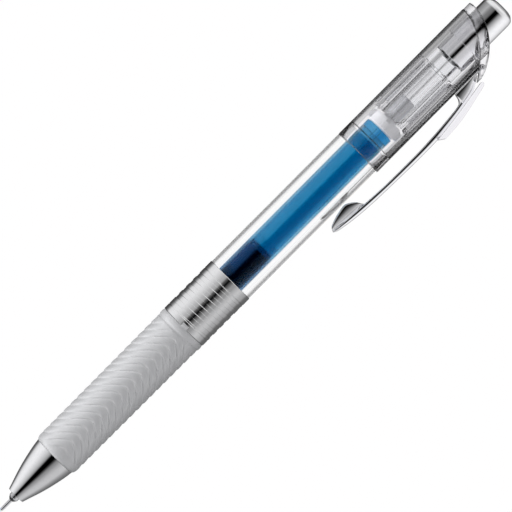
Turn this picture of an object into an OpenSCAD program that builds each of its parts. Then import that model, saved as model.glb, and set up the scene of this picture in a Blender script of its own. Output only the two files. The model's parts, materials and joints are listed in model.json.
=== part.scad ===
// Retractable gel pen, writing tip out, lying on its side with the clip's cover touching the table.
// Every part is drawn upright round the Z axis, needle tip at z = 0 and button on top,
// with the clip on the +X side. lay_down() then puts the pen in its resting pose.
// All lengths are in millimetres.

/* [Overall] */
// Length with the writing tip out
pen_len = 148.5; // [147.5:0.5:149.5]
// Roll of the resting pen about its own axis, in degrees
rest_roll = 18.0; // [15:0.1:24]
// Sideways move that centres the resting pen
rest_shift = 2.824; // [2:0.001:3.6]

/* [Writing tip] */
// Diameter of the writing ball
ball_d = 0.5; // [0.5:0.02:0.54]
// Diameter of the needle tube
needle_d = 0.8; // [0.76:0.01:0.84]
// Length of needle that shows in front of its holder
needle_len = 3.0; // [2.6:0.1:3.4]
// Diameter of the metal holder behind the needle
holder_d = 2.16; // [2.0:0.02:2.2]

/* [Front cone] */
// Front face of the cone
cone_z = 4.45; // [4.3:0.05:4.6]
// Radius of the cone's front face
cone_front_r = 1.94; // [1.8:0.02:2.0]
// Radius of the cone's back edge
cone_back_r = 4.95; // [4.85:0.01:5.05]

/* [Grip] */
// Front edge of the rubber grip
grip_z = 16.1; // [16:0.05:16.3]
// Radius of the grip near the cone
grip_front_r = 5.4; // [5.3:0.02:5.44]
// Radius of the grip near the ring
grip_back_r = 5.52; // [5.46:0.02:5.56]
// Distance from one chevron groove to the next
chevron_pitch = 2.0; // [2:0.1:2.6]
// Depth of a chevron groove
chevron_depth = 0.18; // [0.1:0.02:0.24]
// Width of a chevron groove
chevron_w = 0.3; // [0.2:0.05:0.5]
// Slope of a chevron's limbs, in degrees
chevron_slope = 41; // [34:1:44]

/* [Grooved ring] */
// Front edge of the ring
ring_z = 54.15; // [54:0.05:54.3]
// Radius of the ring
ring_r = 5.62; // [5.58:0.01:5.64]
// Distance between the ring's slanted grooves
ring_pitch = 2.04; // [1.9:0.02:2.1]
// Depth of the ring's slanted grooves
ring_groove = 0.1; // [0.05:0.01:0.15]

/* [Barrel] */
// Radius of the lower barrel
barrel_r = 5.46; // [5.4:0.02:5.5]
// Radius of the lower barrel's bore
barrel_bore_r = 4.43; // [4.35:0.01:4.5]
// Back edge of the ring, where the clear barrel starts to show
barrel_z = 68.05; // [67.9:0.05:68.2]
// Seam between the lower and the upper barrel
seam_z = 105.6; // [105.4:0.1:105.8]
// Radius of the upper barrel
upper_r = 5.5; // [5.46:0.02:5.54]
// Radius of the upper barrel's bore
upper_bore_r = 4.45; // [4.4:0.01:4.5]
// Number of guide ribs inside the upper barrel
rib_n = 8; // [8:1:8]
// Width of a guide rib
rib_w = 1.4; // [1.2:0.05:1.45]

/* [Refill] */
// Radius of the refill tube
refill_r = 3.35; // [3.2:0.05:3.4]
// Wall of the refill tube
refill_wall = 0.55; // [0.4:0.05:0.6]
// Back end of the refill
refill_end_z = 112.3; // [112:0.05:112.3]
// Level of the ink
ink_z = 76.7; // [40:0.1:95]
// Number of coils in the return spring
spring_coils = 9; // [6:1:11]
// Wire diameter of the return spring
spring_wire = 0.32; // [0.24:0.02:0.34]

/* [Clip] */
// Width of the metal clip
clip_w = 3.8; // [3.4:0.1:3.8]
// Width of the clear cover on the clip
cover_w = 4.6; // [4.2:0.1:5]
// Width of the clip's rounded lobe
lobe_w = 3.2; // [2.8:0.1:3.4]

/* [Button] */
// Radius of the button
button_r = 3.74; // [3.7:0.01:3.76]
// Radius of the hole that the button slides in
button_hole_r = 3.84; // [3.82:0.01:3.9]

/* [Hidden] */
$fn = 64;
gap = 0.02;
needle_r = needle_d / 2;
holder_r = holder_d / 2;
bead_r = ring_r;
spring_seat_z = 7.4;
shoulder_z = 21.2;
tube_z = 24;
nozzle_z = 10.4;
ink_r = refill_r - refill_wall - gap;
channel_r = 0.98;
rib_z = 115.2;
rib_end_z = 129.3;
rib_in_r = 3.75;
fin_r = 4.15;
fin_w = 1.3;
rotor_z = refill_end_z + 0.05;
rotor_top_z = 115.1;
knock_z = 115.45;
button_z = 133.2;
barrel_arc_x = -9.5;
barrel_arc_z = 122.6;
barrel_arc_r = 20.25;
crown_arc_x = -5.4;
crown_arc_z = 130.85;
crown_arc_r = 13.55;
hinge_x = 5.9;
hinge_z = 136.7;
hinge_r = 0.6;

// Puts the upright pen in its resting pose: button towards +X, origin under the middle.
module lay_down() {
    translate([-pen_len / 2, rest_shift, bead_r])
        rotate([rest_roll - 90, 0, 0])
            rotate([0, 90, 0])
                children();
}

// A round tube or rod from z0 to z1.
module rod(r, z0, z1) {
    translate([0, 0, z0])
        cylinder(r = r, h = z1 - z0);
}

// A side outline in X and Z, given the stated width across Y.
module side_plate(outline, w) {
    rotate([90, 0, 0])
        linear_extrude(height = w, center = true)
            polygon(outline);
}

// A round bar across the pen, along Y.
module cross_bar(x, z, r, w) {
    translate([x, 0, z])
        rotate([90, 0, 0])
            cylinder(r = r, h = w, center = true);
}

// ---- refill ----

module writing_ball() {
    color([0.75, 0.76, 0.78])
        lay_down()
            translate([0, 0, ball_d / 2])
                sphere(r = ball_d / 2);
}

module needle_tube() {
    socket_r = ball_d / 2 + gap;
    color([0.80, 0.81, 0.83])
        lay_down()
            difference() {
                union() {
                    translate([0, 0, 0.14])
                        cylinder(r1 = socket_r + 0.04, r2 = needle_r, h = 0.76);
                    rod(needle_r, 0.9, needle_len + 2.5);
                }
                rod(socket_r, 0, ball_d + 0.04);
                rod(0.13, 0, 2);
                rod(0.26, 1.2, needle_len + 3);
            }
}

module tip_holder() {
    color([0.72, 0.72, 0.74])
        lay_down()
            difference() {
                union() {
                    translate([0, 0, needle_len])
                        cylinder(r1 = needle_r + 0.05, r2 = holder_r - 0.05, h = 0.66);
                    rod(holder_r, needle_len + 0.66, 9.6);
                    rod(1.45, 9.6, nozzle_z);
                    rod(1.04, nozzle_z, 15);
                }
                rod(needle_r + 0.005, needle_len - 1, needle_len + 2.505);
                rod(0.55, needle_len + 2.5, 16);
            }
}

module refill_nozzle() {
    plug_r = refill_r - refill_wall;
    color([0.30, 0.55, 0.78])
        lay_down()
            difference() {
                union() {
                    rod(1.62, nozzle_z, shoulder_z + 0.4);
                    rod(3.05, shoulder_z, 22);
                    rod(refill_r, 22, tube_z);
                    rod(plug_r - 0.005, tube_z, 29);
                }
                rod(1.05, nozzle_z - 1, 15);
                rod(channel_r + gap, 14, 30);
            }
}

module refill_tube() {
    color([0.20, 0.50, 0.76, 0.6])
        lay_down()
            difference() {
                rod(refill_r, tube_z, refill_end_z - 1.7);
                rod(refill_r - refill_wall, tube_z - 1, refill_end_z);
            }
}

module ink_column() {
    color([0.02, 0.06, 0.22])
        lay_down()
            union() {
                rod(channel_r, 15.05, 29.5);
                rod(ink_r, 29.05, ink_z);
            }
}

module ink_follower() {
    color([0.55, 0.66, 0.80])
        lay_down()
            rod(ink_r, ink_z + gap, ink_z + 2.9);
}

module refill_tail_plug() {
    color([0.20, 0.50, 0.76])
        lay_down()
            difference() {
                union() {
                    rod(refill_r, refill_end_z - 1.68, refill_end_z);
                    rod(refill_r - refill_wall - 0.005, refill_end_z - 6.3, refill_end_z - 1.6);
                }
                rod(0.5, refill_end_z - 7, refill_end_z + 1);
            }
}

// ---- return spring: one helix of round wire, squeezed between cone and refill ----

module return_spring() {
    wire_r = spring_wire / 2;
    mean_r = 1.98;
    low = spring_seat_z + wire_r + 0.02;
    high = shoulder_z - wire_r - 0.02;
    around = 14;
    sides = 6;
    steps = spring_coils * around;
    points = [for (i = [0 : steps], j = [0 : sides - 1])
        let (turn = 360 * i / around, side = 360 * j / sides, r = mean_r + wire_r * cos(side))
        [r * cos(turn), r * sin(turn), low + (high - low) * i / steps + wire_r * sin(side)]];
    wall_a = [for (i = [0 : steps - 1], j = [0 : sides - 1])
        [i * sides + j, (i + 1) * sides + j, (i + 1) * sides + (j + 1) % sides]];
    wall_b = [for (i = [0 : steps - 1], j = [0 : sides - 1])
        [i * sides + j, (i + 1) * sides + (j + 1) % sides, i * sides + (j + 1) % sides]];
    front = [[for (j = [0 : sides - 1]) j]];
    back = [[for (j = [0 : sides - 1]) steps * sides + sides - 1 - j]];
    color([0.70, 0.71, 0.73])
        lay_down()
            polyhedron(points = points, faces = concat(wall_a, wall_b, front, back));
}

// ---- front cone ----

module front_cone() {
    outside = [[cone_front_r, cone_z], [2.52, 6.1], [3.20, 8.15], [3.80, 10.25], [4.30, 12.35],
               [4.72, 14.45], [cone_back_r, grip_z]];
    inside = [[4.03, grip_z], [4.03, 12.35], [2.3, 11.2], [2.3, spring_seat_z],
              [1.2, spring_seat_z], [1.2, cone_z]];
    color([0.86, 0.87, 0.89])
        lay_down()
            rotate_extrude()
                polygon(concat(outside, inside));
}

// ---- rubber grip with chevron grooves ----

// Slanted slots on one side of the pen, all parallel.
module chevron_side(side) {
    count = floor((ring_z - grip_z) / chevron_pitch);
    for (i = [0 : count - 1]) {
        intersection() {
            translate([0.4, 0, grip_z + 2.85 + i * chevron_pitch])
                rotate([0, side * chevron_slope, 0])
                    cube([24, 14, chevron_w], center = true);
            translate([0.4 + side * 4, 0, grip_z + i * chevron_pitch])
                cube([8, 14, 14], center = true);
        }
    }
}

module rubber_grip() {
    bead_z = ring_z - 1.3;
    outline = [[4.57, grip_z], [cone_back_r, grip_z], [5.2, grip_z + 0.35],
               [grip_front_r, grip_z + 1.05], [grip_back_r, bead_z - 0.7],
               [grip_back_r - 0.12, bead_z - 0.5], [grip_back_r - 0.12, bead_z - 0.3],
               [grip_back_r, bead_z - 0.15], [bead_r, bead_z + 0.15], [bead_r, bead_z + 0.75],
               [grip_back_r, bead_z + 1.05], [grip_back_r, ring_z], [4.57, ring_z]];
    color([0.70, 0.71, 0.73])
        lay_down()
            difference() {
                rotate_extrude()
                    polygon(outline);
                difference() {
                    union() {
                        chevron_side(1);
                        chevron_side(-1);
                    }
                    translate([0, 0, grip_z - 6])
                        cylinder(r1 = grip_front_r - chevron_depth, r2 = grip_back_r - chevron_depth,
                                 h = ring_z - grip_z + 6);
                    rod(8, grip_z - 6, grip_z + 1.1);
                    rod(8, bead_z - 1, ring_z + 3);
                }
            }
}

// ---- grooved ring ----

module grooved_ring() {
    color([0.82, 0.83, 0.85])
        lay_down()
            difference() {
                rod(ring_r, ring_z + gap, barrel_z);
                rod(5.03, ring_z - 1, barrel_z + 1);
                for (z = [ring_z + 1.35, barrel_z - 2.1]) {
                    difference() {
                        rod(ring_r + 1, z, z + 0.16);
                        rod(ring_r - 0.08, z - 1, z + 1);
                    }
                }
                for (i = [0 : 3]) {
                    difference() {
                        translate([0, 0, ring_z + 4.3 + i * ring_pitch])
                            rotate([0, -5.2, 0])
                                cylinder(r = ring_r + 1, h = 1.0, center = true);
                        rod(ring_r - ring_groove, ring_z, barrel_z);
                    }
                }
            }
}

// ---- barrels ----

module lower_barrel() {
    color([0.88, 0.90, 0.92, 0.3])
        lay_down()
            difference() {
                union() {
                    rod(4.0, 12.4, grip_z + 1);
                    rod(4.55, grip_z + gap, ring_z + 1);
                    rod(5.0, ring_z + gap, barrel_z + 1);
                    rod(barrel_r, barrel_z + gap, seam_z);
                    rod(4.9, seam_z - 1, seam_z + 3.3);
                }
                rod(3.72, 12, 56);
                rod(4.1, 55, barrel_z);
                rod(barrel_bore_r, barrel_z - 0.6, seam_z - 0.8);
                rod(4.2, seam_z - 1, seam_z + 4);
            }
}

module upper_barrel() {
    spine_r = 2.6;
    color([0.88, 0.90, 0.92, 0.3])
        lay_down()
            difference() {
                union() {
                    difference() {
                        union() {
                            rod(upper_r, seam_z + gap, 144);
                            translate([5.9 - spine_r, 0, 0])
                                rod(spine_r, seam_z + gap, 141);
                        }
                        rod(4.93, seam_z - 1, seam_z + 3.8);
                        rod(upper_bore_r, seam_z, 145);
                    }
                    for (i = [0 : rib_n - 1]) {
                        rotate([0, 0, (i + 0.5) * 360 / rib_n])
                            difference() {
                                translate([rib_in_r, -rib_w / 2, rib_z])
                                    cube([upper_bore_r + 0.3 - rib_in_r, rib_w, rib_end_z - rib_z]);
                                translate([rib_in_r - 1, -rib_w / 2, rib_z])
                                    rotate([-38, 0, 0])
                                        translate([0, -1, -3])
                                            cube([3, 5, 3]);
                            }
                    }
                }
                difference() {
                    translate([-8, -8, 130])
                        cube([16, 16, 16]);
                    cross_bar(barrel_arc_x, barrel_arc_z, barrel_arc_r, 20);
                }
            }
}

// ---- crown: clear cap that guides the button and holds the clip ----

module crown() {
    color([0.90, 0.91, 0.93, 0.35])
        lay_down()
            difference() {
                union() {
                    intersection() {
                        union() {
                            rod(5.4, 130, 146);
                            translate([3, -2.9, 130])
                                cube([4.55, 5.8, 12]);
                        }
                        difference() {
                            cross_bar(crown_arc_x, crown_arc_z, crown_arc_r, 20);
                            cross_bar(barrel_arc_x, barrel_arc_z, barrel_arc_r + gap, 22);
                        }
                    }
                    intersection() {
                        rod(upper_bore_r - 0.04, 137, 142.6);
                        cross_bar(crown_arc_x, crown_arc_z, crown_arc_r - 0.5, 20);
                    }
                }
                rod(button_hole_r, 120, 150);
                difference() {
                    translate([-7, -7, 142.75])
                        cube([6.2, 14, 0.75]);
                    rod(4.35, 140, 146);
                }
                cross_bar(hinge_x, hinge_z, hinge_r + 0.06, 2.6);
                translate([hinge_x - 0.45, -1.3, 133])
                    cube([1.0, 2.6, hinge_z - 133]);
            }
}

// ---- clip ----

module pocket_clip() {
    blade = [[8.05, 90.2], [8.45, 94.9], [8.66, 98.4], [8.90, 102.2], [9.05, 105.5], [9.10, 110],
             [9.08, 115], [8.95, 118], [8.75, 121.3], [8.36, 125.7], [8.02, 127.8], [7.4, 128.8],
             [6.0, 128.9], [6.0, 136], [7.9, 134.8], [8.13, 133.2], [8.76, 129.4], [9.39, 125.2],
             [9.90, 121.05], [10.12, 119.2], [10.18, 114.5], [10.10, 109], [9.98, 104.3],
             [9.82, 100.1], [9.62, 97.2], [9.40, 95.1], [9.10, 93.0], [8.75, 91.2], [8.28, 90.2]];
    lobe = [[8.4, 90.25], [7.75, 90.3], [7.1, 90.95], [6.42, 92.8], [6.1, 94.1], [5.87, 95.3],
            [5.87, 96.1], [6.48, 97.2], [7.2, 98.05], [7.95, 98.5], [8.8, 98.6]];
    color([0.86, 0.87, 0.89])
        lay_down()
            union() {
                difference() {
                    union() {
                        side_plate(blade, clip_w);
                        for (side = [-1, 1]) {
                            translate([5.52, side * (clip_w / 2 - 0.22) - 0.22, 128.9])
                                cube([0.6, 0.44, 8]);
                        }
                    }
                    translate([5, -1.4, 129.6])
                        cube([2.0, 2.8, 4]);
                    difference() {
                        translate([3, -4, 130])
                            cube([8, 8, 10]);
                        cross_bar(barrel_arc_x, barrel_arc_z, barrel_arc_r - 0.3, 20);
                    }
                }
                intersection() {
                    side_plate(lobe, lobe_w);
                    translate([8.47, 0, 0])
                        rod(2.6, 88, 100);
                }
                cross_bar(hinge_x, hinge_z, hinge_r, 2.3);
                translate([hinge_x + 0.05, -1.15, 134.2])
                    cube([0.3, 2.3, hinge_z - 134.2]);
            }
}

module clip_cover() {
    outline = [[10.16, 119.25], [9.93, 121.05], [9.42, 125.2], [8.79, 129.4], [8.16, 133.2],
               [8.0, 134.3], [8.5, 134.6], [9.0, 134.0], [9.22, 133.0], [9.68, 131.0],
               [10.2, 128.7], [10.56, 126.9], [10.82, 125.2], [11.0, 123.2], [11.1, 121.5],
               [11.1, 120.6]];
    color([0.90, 0.91, 0.93, 0.35])
        lay_down()
            side_plate(outline, cover_w);
}

// ---- button and click mechanism ----

module button_cap() {
    outline = [[3.25, button_z], [button_r, button_z], [button_r, pen_len - 1.7],
               [button_r - 0.13, pen_len - 1.1], [button_r - 0.45, pen_len - 0.6],
               [button_r - 0.9, pen_len - 0.22], [button_r - 1.5, pen_len], [0, pen_len],
               [0, pen_len - 1.0], [3.25, pen_len - 1.8]];
    color([0.86, 0.87, 0.89])
        lay_down()
            rotate_extrude()
                polygon(outline);
}

module knock_cam() {
    color([0.90, 0.91, 0.93, 0.4])
        lay_down()
            difference() {
                union() {
                    rod(3.15, knock_z, 131);
                    rod(3.68, 129.6, button_z - gap);
                    rod(3.22, 131, 144.5);
                    for (i = [0 : rib_n - 1]) {
                        rotate([0, 0, i * 360 / rib_n])
                            translate([2.6, -fin_w / 2, 117.5])
                                cube([fin_r - 2.6, fin_w, 11.3]);
                    }
                }
                rod(1.95, knock_z - 1, 142);
                for (i = [0 : rib_n - 1]) {
                    rotate([0, 0, i * 360 / rib_n])
                        translate([2.6, 0, knock_z])
                            rotate([45, 0, 0])
                                cube([3, 0.9, 0.9], center = true);
                }
            }
}

module rotor_cam() {
    color([0.93, 0.94, 0.95])
        lay_down()
            union() {
                rod(3.25, rotor_z, rotor_top_z);
                rod(1.75, rotor_z, 121);
                for (i = [0 : 3]) {
                    rotate([0, 0, i * 90])
                        difference() {
                            translate([2.4, -fin_w / 2, rotor_z + 0.4])
                                cube([fin_r - 2.4, fin_w, rotor_top_z - rotor_z - 0.4]);
                            translate([2, -fin_w / 2, rotor_top_z])
                                rotate([-38, 0, 0])
                                    translate([0, -1, 0])
                                        cube([4, 5, 3]);
                        }
                }
            }
}

writing_ball();
needle_tube();
tip_holder();
refill_nozzle();
refill_tube();
ink_column();
ink_follower();
refill_tail_plug();
return_spring();
front_cone();
rubber_grip();
grooved_ring();
lower_barrel();
upper_barrel();
crown();
pocket_clip();
clip_cover();
button_cap();
knock_cam();
rotor_cam();
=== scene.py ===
import json
import math

import bmesh
import bpy
import numpy as np
from mathutils import Matrix, Vector

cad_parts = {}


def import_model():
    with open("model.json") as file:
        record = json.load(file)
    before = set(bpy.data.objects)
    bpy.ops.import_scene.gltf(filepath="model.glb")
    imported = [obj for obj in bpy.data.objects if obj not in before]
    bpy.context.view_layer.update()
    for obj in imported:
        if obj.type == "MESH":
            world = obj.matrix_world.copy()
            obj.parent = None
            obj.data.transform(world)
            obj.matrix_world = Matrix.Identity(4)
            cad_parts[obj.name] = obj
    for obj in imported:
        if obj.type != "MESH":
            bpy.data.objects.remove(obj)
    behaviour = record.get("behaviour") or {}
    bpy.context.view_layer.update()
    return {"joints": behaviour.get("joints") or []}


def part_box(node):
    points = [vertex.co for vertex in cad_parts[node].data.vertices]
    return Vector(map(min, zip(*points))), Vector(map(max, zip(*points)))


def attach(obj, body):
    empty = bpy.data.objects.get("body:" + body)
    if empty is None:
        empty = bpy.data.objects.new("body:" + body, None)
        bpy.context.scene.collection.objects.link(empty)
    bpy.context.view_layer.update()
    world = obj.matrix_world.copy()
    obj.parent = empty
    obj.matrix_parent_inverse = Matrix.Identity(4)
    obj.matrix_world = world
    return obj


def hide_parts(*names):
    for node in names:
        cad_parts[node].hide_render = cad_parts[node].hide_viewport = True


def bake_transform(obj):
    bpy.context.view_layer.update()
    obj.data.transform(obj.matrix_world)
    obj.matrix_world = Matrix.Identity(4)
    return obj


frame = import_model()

# ---- the pen's own axes, in mm: x towards the clip, y away from the viewer, z from tip to button ----

MM = 0.001
joints = {j["name"]: j for j in frame["joints"]}
ring_low, ring_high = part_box("grooved_ring")
along = Vector((1, 0, 0))
to_viewer = Vector(joints["clip_flex"]["axis"]).normalized()
clipward = along.cross(to_viewer)
tip = Vector((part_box("writing_ball")[0].x, (ring_low.y + ring_high.y) / 2, (ring_low.z + ring_high.z) / 2))
AXES = np.array([clipward, -to_viewer, along]) * MM

# arcs seen from the side: the x and z of the centre, and the radius
BARREL_END = (-9.5, 122.6, 20.25)
CROWN_UNDER = (-9.5, 122.6, 20.27)
CROWN_DOME = (-5.4, 130.85, 13.55)


def world(points):
    return np.asarray(points, float) @ AXES + np.array(tip)


# ---- mesh helpers ----

# in metres: points closer than this are one point, and edges shorter than this are taken out
MERGE = 3e-7
SLIVER = 2e-7


def make(name, verts, faces, body, material, nodes=(), crease=35, slot=None):
    """One finished piece from points in the pen's axes."""
    mesh = bpy.data.meshes.new(name)
    mesh.from_pydata(world(verts).tolist(), [], faces)
    bm = bmesh.new()
    bm.from_mesh(mesh)
    bmesh.ops.remove_doubles(bm, verts=bm.verts, dist=MERGE)
    bmesh.ops.dissolve_degenerate(bm, edges=bm.edges, dist=SLIVER)
    bmesh.ops.recalc_face_normals(bm, faces=bm.faces)
    bm.to_mesh(mesh)
    bm.free()
    obj = bpy.data.objects.new(name, mesh)
    bpy.context.scene.collection.objects.link(obj)
    shade(obj, crease)
    mesh.materials.append(material)
    if body:
        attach(obj, body)
    if nodes:
        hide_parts(*nodes)
    return obj


def shade(obj, crease):
    """Smooth shading, with edges over the crease angle left sharp."""
    obj.data.polygons.foreach_set("use_smooth", [True] * len(obj.data.polygons))
    obj.data.set_sharp_from_angle(angle=math.radians(crease))


def grid_faces(rows, columns, closed):
    faces = []
    for r in range(rows if closed else rows - 1):
        r2 = (r + 1) % rows
        for s in range(columns):
            s2 = (s + 1) % columns
            faces.append((r * columns + s, r * columns + s2, r2 * columns + s2, r2 * columns + s))
    return faces


def skin(name, loops, body, material, closed=True, **more):
    """A surface through rings of points, each ring with the same number of points.

    closed: the last ring joins the first, as on a tube; otherwise both ends get a face."""
    loops = np.asarray(loops, float)
    rows, columns = loops.shape[:2]
    faces = grid_faces(rows, columns, closed)
    if not closed:
        faces.append(tuple(range(columns)))
        faces.append(tuple((rows - 1) * columns + s for s in reversed(range(columns))))
    return make(name, loops.reshape(-1, 3), faces, body, material, **more)


def angles(columns):
    return np.arange(columns) * (2 * math.pi / columns)


def circle(r, z, a):
    """A ring of points round the pen's axis; r and z may be one number or one for each angle."""
    return np.stack([r * np.cos(a), r * np.sin(a), z + np.zeros(len(a))], 1)


def turned(name, profile, body, material, columns=128, **more):
    """An outline of (z, r) pairs turned round the pen's axis; no point lies on the axis itself."""
    a = angles(columns)
    loops = [circle(max(r, 1e-5), z, a) for z, r in profile]
    return skin(name, loops, body, material, **more)


def rounded(corners, radius=0.08, steps=4):
    """A closed outline with its corners rounded; a corner may carry its own radius as a third number."""
    straight = math.radians(88)
    points = [Vector(c[:2]) for c in corners]
    own = [c[2] if len(c) > 2 else radius for c in corners]
    out = []
    for i, p in enumerate(points):
        if own[i] <= 0:
            out.append(tuple(p))
            continue
        before = points[i - 1] - p
        after = points[(i + 1) % len(points)] - p
        half = before.angle(after, math.pi) / 2
        if half > straight:
            out.append(tuple(p))
            continue
        reach = min(own[i] / math.tan(half), before.length * 0.45, after.length * 0.45)
        a = p + before.normalized() * reach
        b = p + after.normalized() * reach
        for k in range(steps + 1):
            t = k / steps
            out.append(tuple(a * (1 - t) ** 2 + p * 2 * t * (1 - t) + b * t ** 2))
    return out


def flowing(points, steps=6):
    """A smooth line through the points."""
    p = [np.array(q, float) for q in points]
    p = [2 * p[0] - p[1]] + p + [2 * p[-1] - p[-2]]
    out = []
    for i in range(1, len(p) - 2):
        for k in range(steps):
            t = k / steps
            out.append(tuple(0.5 * (2 * p[i] + (p[i + 1] - p[i - 1]) * t
                                    + (2 * p[i - 1] - 5 * p[i] + 4 * p[i + 1] - p[i + 2]) * t ** 2
                                    + (3 * p[i] - p[i - 1] - 3 * p[i + 1] + p[i + 2]) * t ** 3)))
    return out + [tuple(p[-2])]


def arc_z(x, arc):
    """The height of an arc's upper side at x."""
    centre_x, centre_z, r = arc
    return centre_z + np.sqrt(np.maximum(r * r - (x - centre_x) ** 2, 0.01))


# ---- materials ----

WHITE = (1, 1, 1)
# nearly all of a noise's values lie between these two
GRAIN = (0.3, 0.7)


class Nodes:
    """A node tree and the ways to add to it."""

    def __init__(self, tree):
        self.tree = tree

    def join(self, source, socket):
        self.tree.links.new(source, socket)

    def node(self, kind, inputs=None, **attributes):
        """A new node; each input is a socket to join or a plain value."""
        new = self.tree.nodes.new("ShaderNode" + kind)
        for key, value in attributes.items():
            setattr(new, key, value)
        for key, value in (inputs or {}).items():
            if hasattr(value, "is_output"):
                self.join(value, new.inputs[key])
            else:
                new.inputs[key].default_value = value
        return new

    def maths(self, operation, a, b=0.0):
        return self.node("Math", {0: a, 1: b}, operation=operation).outputs[0]

    def both(self, a, b):
        return self.maths("MULTIPLY", a, b)

    def span(self, value, low, high, start=0.0, end=1.0):
        """value from start..end turned into low..high."""
        return self.node("MapRange", {"Value": value, "From Min": start, "From Max": end,
                                      "To Min": low, "To Max": high}).outputs["Result"]

    def blend(self, value, first, second):
        """The first colour where value is 0, the second where it is 1."""
        mix = self.node("Mix", data_type="RGBA")
        self.join(value, mix.inputs["Factor"])
        for socket, colour in ((mix.inputs[6], first), (mix.inputs[7], second)):
            if hasattr(colour, "is_output"):
                self.join(colour, socket)
            else:
                socket.default_value = (*colour, 1)
        return mix.outputs[2]

    def times(self, first, second):
        mix = self.node("Mix", {0: 1.0}, data_type="RGBA", blend_type="MULTIPLY")
        self.join(first, mix.inputs[6])
        self.join(second, mix.inputs[7])
        return mix.outputs[2]

    def ramp(self, value, stops, start=0.0, end=1.0):
        """Colours or grey steps at values between start and end."""
        new = self.node("ValToRGB", {0: self.span(value, 0, 1, start, end)})
        elements = new.color_ramp.elements
        while len(elements) > 1:
            elements.remove(elements[-1])
        for i, (at, colour) in enumerate(stops):
            place = (at - start) / (end - start)
            item = elements[0] if i == 0 else elements.new(place)
            item.position = place
            item.color = (*colour, 1) if isinstance(colour, tuple) else (colour, colour, colour, 1)
        return new.outputs[0]


class Paint(Nodes):
    """A material for a piece of the pen."""

    def __init__(self, name, **settings):
        self.material = bpy.data.materials.new(name)
        self.material.use_nodes = True
        super().__init__(self.material.node_tree)
        self.shader = self.tree.nodes["Principled BSDF"]
        for key, value in settings.items():
            self.set(key.replace("_", " "), value)

    def set(self, socket, value):
        """A number or colour that is the same all over the surface."""
        self.shader.inputs[socket].default_value = (*value, 1.0) if isinstance(value, tuple) else value

    def link(self, source, socket):
        self.join(source, self.shader.inputs[socket])

    def spot(self, stretch=(1, 1, 1)):
        """Place on the piece, in mm along the pen's own axes."""
        turn = Matrix((clipward, -to_viewer, along))
        source = self.node("TexCoord").outputs["Object"]
        move = self.node("Mapping", {"Vector": source, "Location": -(turn @ tip) * 1000,
                                     "Rotation": turn.to_euler(), "Scale": (1000, 1000, 1000)})
        if stretch == (1, 1, 1):
            return move.outputs[0]
        return self.node("Mapping", {"Vector": move.outputs[0], "Scale": stretch}).outputs[0]

    def noise(self, scale, stretch=(1, 1, 1), detail=3.0, roughness=0.5):
        return self.node("TexNoise", {"Vector": self.spot(stretch), "Scale": scale, "Detail": detail,
                                      "Roughness": roughness}).outputs["Fac"]

    def distance(self, a, b):
        """The length of the sides a and b together."""
        return self.maths("SQRT", self.maths("ADD", self.both(a, a), self.both(b, b)))

    def where(self):
        """x towards the clip, distance from the pen's axis and height above the tip, in mm."""
        xyz = self.node("SeparateXYZ", {0: self.spot()}).outputs
        return xyz[0], self.distance(xyz[0], xyz[1]), xyz[2]

    def facing(self, stops):
        """Grey steps from where the surface is seen square on (0) to where it is seen edge on (1)."""
        return self.ramp(self.node("LayerWeight", {"Blend": 0.5}).outputs["Facing"], stops)

    def roughness(self, pattern, low, high, start=GRAIN[0]):
        self.link(self.span(pattern, low, high, start, GRAIN[1]), "Roughness")

    def bump(self, height, strength, distance):
        new = self.node("Bump", {"Height": height, "Strength": strength, "Distance": distance * MM})
        self.link(new.outputs[0], "Normal")

    def lets_light_in(self, tint):
        """Lamps reach what is behind the piece."""
        path = self.node("LightPath")
        clear = self.node("BsdfTransparent", {"Color": (*tint, 1)})
        mix = self.node("MixShader", {0: path.outputs["Is Shadow Ray"], 1: self.shader.outputs[0],
                                      2: clear.outputs[0]})
        self.join(mix.outputs[0], self.tree.nodes["Material Output"].inputs["Surface"])


# heights on the button: where it comes out of the crown, where the painted shade of its side ends, and a painted
# dark band round its end
CROWN_END = (140.5, 142.5)
SIDE_END = (146.7, 147.1)
END_SHADE = [(147, 1.0), (147.75, 1.0), (148.0, 0.42), (148.35, 0.36), (148.46, 1.0), (149, 1.0)]


def metal(name, colour, dark, rough, rough_to, stretch, scale, bump, painted_reflection=None, painted_light=None, inside=None,
          lengthways=None):
    """Polished or turned metal.

    painted_reflection: painted reflection and shade, as brightness from the side away from the clip (-1) to the
    clip's side (1);
    haze: painted light carried there, as emission; inside: the painted shade within the crown, where alone the
    painted light then is;
    lengthways: brightness by height in mm."""
    p = Paint(name, Metallic=1.0)
    grain = p.noise(scale, stretch, 4.0, 0.6)
    look = p.blend(p.span(grain, 0, 1, *GRAIN), dark, colour)
    # painted reflection and shade in bands from one side to the other
    if painted_reflection:
        x, away, z = p.where()
        share = p.maths("DIVIDE", x, away)
        painted_bands = p.ramp(share, painted_reflection, -1, 1)
        # within the crown: painted shade by side and painted light as emission; past the side's end no bands, and
        # a painted dark band round the end
        if inside:
            crowned = p.span(z, 1, 0, *CROWN_END)
            outside = p.blend(p.span(z, 0, 1, *SIDE_END), painted_bands, WHITE)
            painted_bands = p.blend(crowned, outside, p.ramp(share, inside, -1, 1))
            painted_bands = p.times(painted_bands, p.ramp(z, END_SHADE, 147, 149))
            p.link(crowned, "Emission Strength")
        # painted light as emission all over the piece
        elif painted_light:
            p.set("Emission Strength", 1.0)
        if painted_light:
            p.link(p.ramp(share, painted_light, -1, 1), "Emission Color")
        look = p.times(look, painted_bands)
    if lengthways:
        look = p.times(look, p.ramp(p.where()[2], lengthways, 0, 20))
    p.link(look, "Base Color")
    p.roughness(grain, rough, rough_to)
    p.bump(grain, bump, 0.02)
    return p.material
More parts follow.
